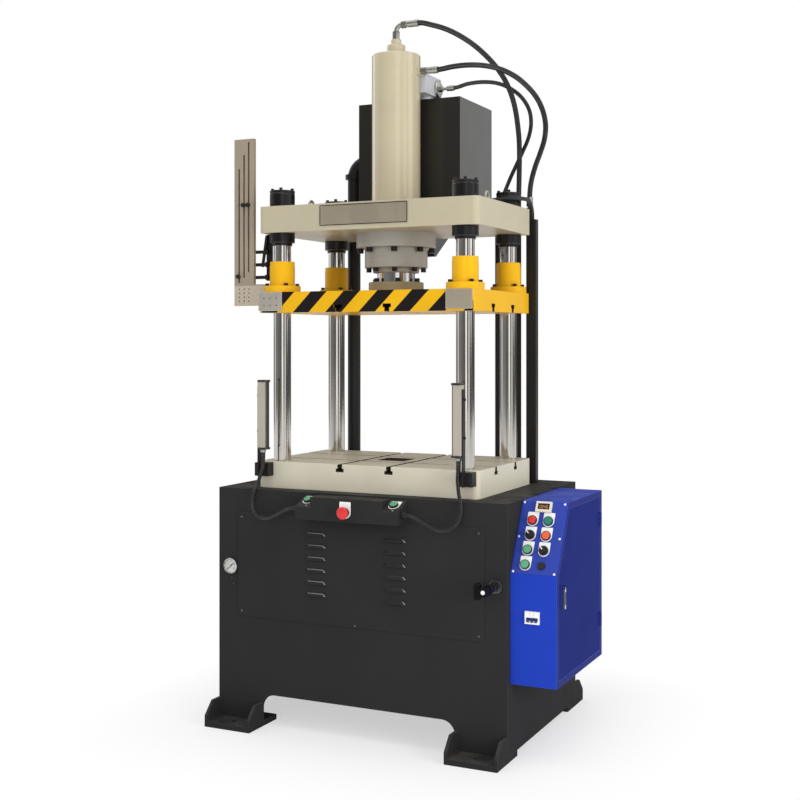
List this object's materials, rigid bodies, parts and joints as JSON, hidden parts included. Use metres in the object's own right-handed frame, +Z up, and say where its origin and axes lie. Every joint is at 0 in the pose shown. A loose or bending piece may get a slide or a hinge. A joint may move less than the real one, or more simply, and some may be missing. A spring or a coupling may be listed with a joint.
{
  "type": "hydraulic press",
  "caption": "Four-column hydraulic press: beige bed and crown, yellow striped platen driven by an overhead cylinder, dark base cabinet, two-hand console, light curtain and blue control box.",
  "frame": {"origin": "on the floor, in the middle of the four anchor bolt holes", "axes": "+Z up along the ram, +X to the operator's right, -Y to the operator"},
  "size_m": [1.215, 0.88, 2.398],
  "materials": {
    "cabinet_paint": "textured charcoal powder coat",
    "beige_paint": "smooth beige enamel",
    "chrome_steel": "hard chrome, ground",
    "black_steel": "black oxide",
    "grey_cylinder": "satin grey beige",
    "bright_steel": "zinc plated",
    "prefill_grey": "satin light grey",
    "tank_paint": "gloss black enamel",
    "pipe_paint": "satin black",
    "hose_rubber": "matt black, wrapped cover",
    "light_housing": "anodised, cream",
    "bezel_plastic": "moulded black",
    "green_plastic": "moulded green",
    "red_plastic": "moulded red",
    "teal_plastic": "moulded teal",
    "orange_plastic": "moulded orange",
    "valve_steel": "dark plated",
    "blue_paint": "gloss blue enamel",
    "cream_plastic": "moulded cream",
    "white_plastic": "moulded white",
    "navy_plastic": "moulded dark blue",
    "yellow_paint": "gloss signal yellow",
    "board_steel": "satin grey",
    "motor_grey": "satin grey"
  },
  "bodies": {
    "base": {"base_cabinet": "cabinet_paint", "floor_feet": "cabinet_paint", "front_cover": "cabinet_paint", "console": "cabinet_paint", "bed_plate": "beige_paint", "crown": "beige_paint", "cylinder_barrel": "beige_paint", "columns": "chrome_steel", "column_nuts": "black_steel", "cylinder_bolts": "black_steel", "cylinder_flange": "grey_cylinder", "gland_ring": "grey_cylinder", "lifting_eyes": "bright_steel", "hose_fittings": "bright_steel", "gauge_case": "bright_steel", "contactor_plate": "bright_steel", "prefill_valve": "prefill_grey", "oil_tank": "tank_paint", "oil_pipes": "pipe_paint", "cable_trunk": "pipe_paint", "light_brackets": "pipe_paint", "stroke_sensors": "pipe_paint", "hose_top": "hose_rubber", "hose_side": "hose_rubber", "hose_prefill": "hose_rubber", "trunk_cable": "hose_rubber", "light_cable_left": "hose_rubber", "light_cable_right": "hose_rubber", "light_bars": "light_housing", "panel_fittings": "bezel_plastic", "relief_valve": "valve_steel", "electric_box": "blue_paint", "panel_plate": "blue_paint", "counter_display": "cream_plastic", "breaker": "white_plastic", "power_unit": "motor_grey"},
    "ram": {"platen": "yellow_paint", "guide_bushes": "yellow_paint", "ram_bolts": "black_steel", "ram": "chrome_steel", "rod_flange": "grey_cylinder", "stroke_board": "board_steel"},
    "left_dog": {"trip_dog_left": "bezel_plastic"},
    "middle_dog": {"trip_dog_middle": "bezel_plastic"},
    "right_dog": {"trip_dog_right": "bezel_plastic"},
    "left_palm": {"palm_button_left": "green_plastic"},
    "right_palm": {"palm_button_right": "green_plastic"},
    "stop": {"emergency_stop": "red_plastic"},
    "needle": {"gauge_needle": "bezel_plastic"},
    "valve_knob": {"relief_knob": "bezel_plastic"},
    "door": {"box_door": "blue_paint"},
    "lock": {"door_handle": "valve_steel"},
    "red": {"red_button": "red_plastic"},
    "teal": {"teal_button": "teal_plastic"},
    "orange": {"orange_button": "orange_plastic"},
    "green_upper": {"green_button_upper": "green_plastic"},
    "green_lower": {"green_button_lower": "green_plastic"},
    "left_selector": {"selector_left": "bezel_plastic"},
    "right_selector": {"selector_right": "bezel_plastic"},
    "toggle": {"breaker_toggle": "navy_plastic"}
  },
  "joints": [
    {"name": "ram_stroke", "type": "slide", "parent": "base", "child": "ram", "axis": [0, 0, 1], "range_m": [-0.4, 0]},
    {"name": "left_dog_slide", "type": "slide", "parent": "ram", "child": "left_dog", "axis": [0, 0, 1], "range_m": [-0.018, 0.368]},
    {"name": "middle_dog_slide", "type": "slide", "parent": "ram", "child": "middle_dog", "axis": [0, 0, 1], "range_m": [-0.246, 0.168]},
    {"name": "right_dog_slide", "type": "slide", "parent": "ram", "child": "right_dog", "axis": [0, 0, 1], "range_m": [-0.226, 0.212]},
    {"name": "left_palm_press", "type": "slide", "parent": "base", "child": "left_palm", "axis": [0, 0.3892, -0.9211], "range_m": [0, 0.004], "stiffness_N_per_m": 900},
    {"name": "right_palm_press", "type": "slide", "parent": "base", "child": "right_palm", "axis": [0, 0.3892, -0.9211], "range_m": [0, 0.004], "stiffness_N_per_m": 900},
    {"name": "stop_press", "type": "slide", "parent": "base", "child": "stop", "axis": [0, 1, 0], "range_m": [0, 0.006]},
    {"name": "needle_turn", "type": "hinge", "parent": "base", "child": "needle", "pos_m": [-0.474, -0.346, 0.531], "axis": [0, 1, 0], "range_deg": [0, 270], "stiffness_Nm_per_rad": 0.0005},
    {"name": "valve_turn", "type": "hinge", "parent": "base", "child": "valve_knob", "pos_m": [0.488, -0.43, 0.541], "axis": [0, -1, 0], "range_deg": [-180, 180]},
    {"name": "door_swing", "type": "hinge", "parent": "base", "child": "door", "pos_m": [0.678, 0.137, 0.5], "axis": [0, 0, 1], "range_deg": [0, 120]},
    {"name": "lock_lift", "type": "hinge", "parent": "door", "child": "lock", "pos_m": [0.681, -0.262, 0.54], "axis": [0, -1, 0], "range_deg": [0, 35]},
    {"name": "red_press", "type": "slide", "parent": "base", "child": "red", "axis": [0, 0.8825, -0.4704], "range_m": [0, 0.004], "stiffness_N_per_m": 900},
    {"name": "teal_press", "type": "slide", "parent": "base", "child": "teal", "axis": [0, 0.8825, -0.4704], "range_m": [0, 0.004], "stiffness_N_per_m": 900},
    {"name": "orange_press", "type": "slide", "parent": "base", "child": "orange", "axis": [0, 0.8825, -0.4704], "range_m": [0, 0.004], "stiffness_N_per_m": 900},
    {"name": "green_upper_press", "type": "slide", "parent": "base", "child": "green_upper", "axis": [0, 0.8825, -0.4704], "range_m": [0, 0.004], "stiffness_N_per_m": 900},
    {"name": "green_lower_press", "type": "slide", "parent": "base", "child": "green_lower", "axis": [0, 0.8825, -0.4704], "range_m": [0, 0.004], "stiffness_N_per_m": 900},
    {"name": "left_selector_turn", "type": "hinge", "parent": "base", "child": "left_selector", "pos_m": [0.57, -0.25873, 0.69119], "axis": [0, 0.8825, -0.4704], "range_deg": [0, 90]},
    {"name": "right_selector_turn", "type": "hinge", "parent": "base", "child": "right_selector", "pos_m": [0.622, -0.28131, 0.64883], "axis": [0, 0.8825, -0.4704], "range_deg": [0, 90]},
    {"name": "toggle_flip", "type": "hinge", "parent": "base", "child": "toggle", "pos_m": [0.598, -0.319, 0.4465], "axis": [-1, 0, 0], "range_deg": [0, 40]}
  ]
}
